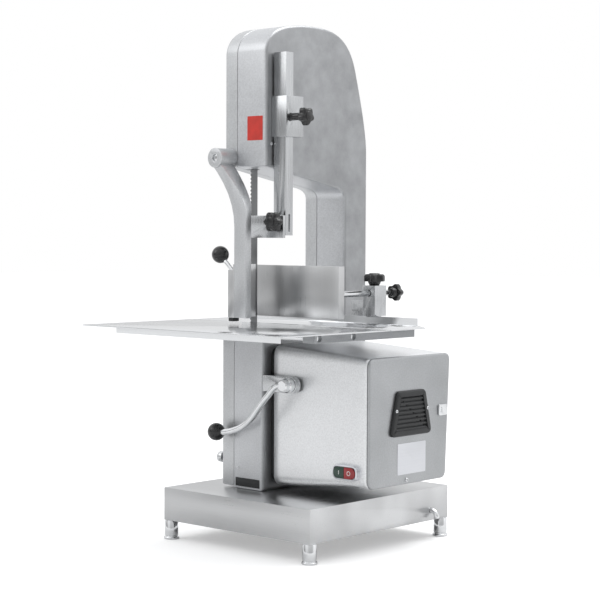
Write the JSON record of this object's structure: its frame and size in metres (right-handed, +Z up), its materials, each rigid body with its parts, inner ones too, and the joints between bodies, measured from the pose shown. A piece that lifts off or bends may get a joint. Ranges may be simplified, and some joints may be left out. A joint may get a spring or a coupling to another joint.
{
  "type": "bone saw",
  "caption": "Bench-top meat and bone band saw: C-shaped cast frame with hinged door, band wheels, motor, sliding table, thickness fence, swinging pusher and adjustable blade guide.",
  "frame": {"origin": "middle of the bounding box's footprint, on the surface that the feet stand on", "axes": "+Z up; the operator stands at -Y; the motor is on +X and the door on -X; the sliding table runs along X"},
  "size_m": [0.434, 0.4862, 0.8439],
  "materials": {
    "casing": "satin cast aluminium, lightly mottled",
    "housing_metal": "bright satin cast aluminium",
    "guide_metal": "machined aluminium",
    "wheel_metal": "turned casting",
    "table_steel": "polished stainless sheet",
    "pan_steel": "brushed stainless sheet",
    "fence_steel": "brushed stainless sheet",
    "fitting_steel": "machined stainless",
    "blade_steel": "bright spring steel",
    "polished_steel": "polished stainless",
    "black_knob": "glossy black phenolic",
    "black_plastic": "satin black moulding",
    "motor_grey": "grey painted motor",
    "white_plastic": "white acetal",
    "green_button": "dark green cap",
    "red_button": "red cap"
  },
  "bodies": {
    "frame": {"base_pan": "pan_steel", "foot_front_left": "polished_steel", "foot_front_right": "polished_steel", "foot_rear_left": "polished_steel", "foot_rear_right": "polished_steel", "drain_spout": "polished_steel", "frame_body": "casing", "hinge_lower": "fitting_steel", "hinge_upper": "fitting_steel", "blade_insert": "white_plastic", "upper_axle": "fitting_steel", "saw_blade": "blade_steel", "motor_housing": "housing_metal", "cable_gland": "black_plastic", "motor_end_cover": "housing_metal", "vent_grille": "black_plastic", "switch_housing": "black_plastic", "tension_bracket": "guide_metal", "guide_clamp": "guide_metal", "fixed_table": "table_steel", "rail_arm_left": "casing", "rail_arm_right": "casing", "rail_rear": "polished_steel", "rail_front": "polished_steel", "fence_block": "guide_metal"},
    "door": {"door_shell": "casing", "pusher_shaft": "polished_steel"},
    "door_catch": {"door_knob": "black_knob"},
    "pusher": {"pusher_arm": "casing", "pusher_plate": "fence_steel", "pusher_skid": "black_plastic", "pusher_rod": "polished_steel", "pusher_ball": "black_knob"},
    "upper_pulley": {"upper_wheel": "wheel_metal", "upper_bearing": "polished_steel"},
    "motor_carrier": {"motor_plate": "wheel_metal", "motor_body": "motor_grey"},
    "lower_pulley": {"lower_wheel": "wheel_metal", "motor_shaft": "fitting_steel"},
    "tension_arm": {"tension_lever": "polished_steel", "tension_ball": "black_knob"},
    "guide": {"guide_post": "guide_metal", "guide_bracket": "guide_metal", "blade_guide": "white_plastic"},
    "guide_roller": {"thrust_roller": "polished_steel"},
    "guide_clamp_knob": {"guide_knob": "black_knob"},
    "post_knob": {"post_lock_knob": "black_knob"},
    "table_slide": {"sliding_table": "table_steel", "carriage_left": "white_plastic", "carriage_right": "white_plastic"},
    "fence": {"fence_plate": "fence_steel", "fence_rod": "polished_steel"},
    "fence_knob": {"fence_end_knob": "black_knob"},
    "fence_lock": {"fence_lock_knob": "black_knob"},
    "start": {"start_button": "green_button"},
    "stop": {"stop_button": "red_button"},
    "latch": {"cover_latch": "polished_steel"}
  },
  "joints": [
    {"name": "door_hinge", "type": "hinge", "parent": "frame", "child": "door", "pos_m": [-0.08775, 0.2361, 0.4], "axis": [0, 0, -1], "range_deg": [0, 100]},
    {"name": "door_knob_turn", "type": "hinge", "parent": "door", "child": "door_catch", "pos_m": [-0.1164, -0.0192, 0.131], "axis": [-1, 0, 0], "continuous": true},
    {"name": "pusher_swing", "type": "hinge", "parent": "door", "child": "pusher", "pos_m": [-0.1026, -0.0437, 0.62304], "axis": [0, 1, 0], "range_deg": [-4, 55]},
    {"name": "lower_wheel_turn", "type": "hinge", "parent": "motor_carrier", "child": "lower_pulley", "pos_m": [-0.0684, 0.0979, 0.215], "axis": [1, 0, 0], "continuous": true},
    {"name": "upper_wheel_turn", "type": "hinge", "parent": "frame", "child": "upper_pulley", "pos_m": [-0.0684, 0.0979, 0.72584], "axis": [1, 0, 0], "continuous": true},
    {"name": "tension_turn", "type": "hinge", "parent": "frame", "child": "tension_arm", "pos_m": [0.0361, -0.0257, 0.261], "axis": [0, 1, 0], "range_deg": [-40, 0]},
    {"name": "motor_rise", "type": "slide", "parent": "frame", "child": "motor_carrier", "axis": [0, 0, 1], "range_m": [0, 0.004]},
    {"name": "guide_height", "type": "slide", "parent": "frame", "child": "guide", "axis": [0, 0, 1], "range_m": [-0.035, 0.07]},
    {"name": "roller_turn", "type": "hinge", "parent": "guide", "child": "guide_roller", "pos_m": [-0.055, -0.0019, 0.52004], "axis": [0, 1, 0], "continuous": true},
    {"name": "guide_knob_turn", "type": "hinge", "parent": "guide", "child": "guide_clamp_knob", "pos_m": [-0.0049, -0.02, 0.51964], "axis": [0, 1, 0], "continuous": true},
    {"name": "post_knob_turn", "type": "hinge", "parent": "frame", "child": "post_knob", "pos_m": [0.0307, -0.0008, 0.68854], "axis": [1, 0, 0], "continuous": true},
    {"name": "table_travel", "type": "slide", "parent": "frame", "child": "table_slide", "axis": [1, 0, 0], "range_m": [-0.088, 0.088]},
    {"name": "fence_travel", "type": "slide", "parent": "frame", "child": "fence", "axis": [0, 1, 0], "range_m": [-0.012, 0.06]},
    {"name": "fence_knob_turn", "type": "hinge", "parent": "fence", "child": "fence_knob", "pos_m": [0.077, 0.18, 0.4045], "axis": [0, 1, 0], "continuous": true},
    {"name": "fence_lock_turn", "type": "hinge", "parent": "frame", "child": "fence_lock", "pos_m": [0.077, 0.1274, 0.425], "axis": [0, 0, 1], "continuous": true},
    {"name": "start_press", "type": "slide", "parent": "frame", "child": "start", "axis": [0, 1, 0], "range_m": [0, 0.003], "stiffness_N_per_m": 800},
    {"name": "stop_press", "type": "slide", "parent": "frame", "child": "stop", "axis": [0, 1, 0], "range_m": [0, 0.003], "stiffness_N_per_m": 800},
    {"name": "latch_turn", "type": "hinge", "parent": "frame", "child": "latch", "pos_m": [0.1857, 0.1651, 0.219], "axis": [1, 0, 0], "range_deg": [0, 90]}
  ],
  "couplings": [
    {"joint": "upper_wheel_turn", "follows": "lower_wheel_turn", "ratio": 1},
    {"joint": "tension_turn", "follows": "motor_rise", "rad_per_m": -174.53}
  ]
}
